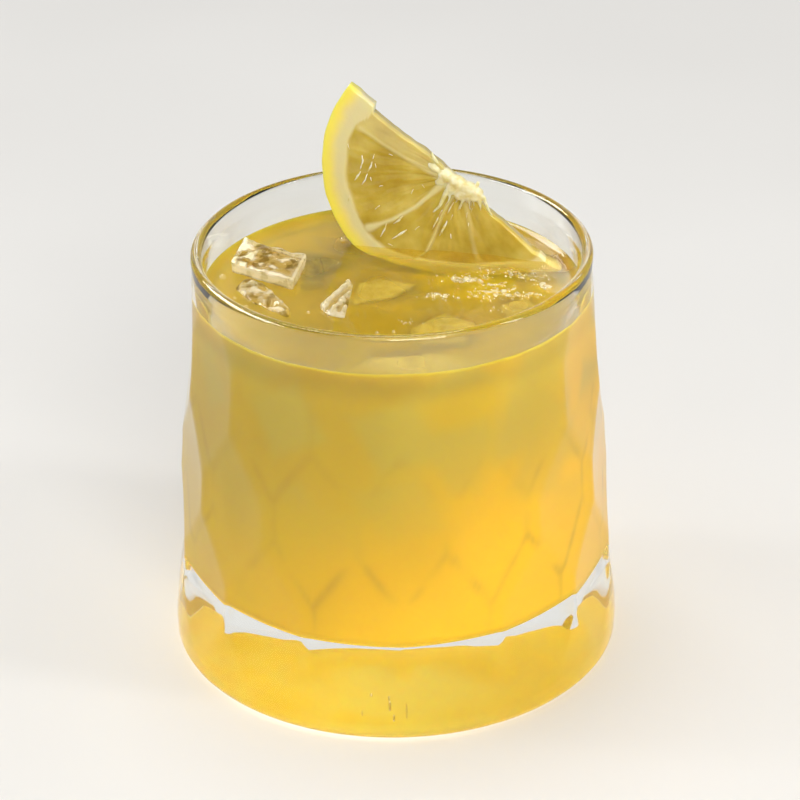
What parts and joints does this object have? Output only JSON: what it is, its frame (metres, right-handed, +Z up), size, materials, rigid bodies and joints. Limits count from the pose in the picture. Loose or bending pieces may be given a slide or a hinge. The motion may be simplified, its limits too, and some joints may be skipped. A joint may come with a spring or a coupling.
{
  "type": "glass of lemonade",
  "caption": "Thick-walled tumbler with a cut hexagon pattern, filled with cloudy yellow lemonade, a lemon half-wheel standing in the drink and clear ice at its surface.",
  "frame": {"origin": "centre of the glass's foot, on the surface it stands on", "axes": "+Z up along the glass's axis; -Y is the front that the lemon's cut face looks to; +X is to the right seen from the front"},
  "size_m": [0.0921, 0.092, 0.1119],
  "materials": {
    "glass": "clear pressed soda-lime glass, polished",
    "lemonade": "cloudy yellow liquid, wet",
    "lemon": "fresh cut lemon, wet",
    "ice": "clear melting ice, wet"
  },
  "bodies": {
    "root": {"glass": "glass", "lemonade": "lemonade", "lemon_slice": "lemon", "ice_block": "ice", "ice_shard": "ice", "ice_chip": "ice"}
  },
  "joints": []
}
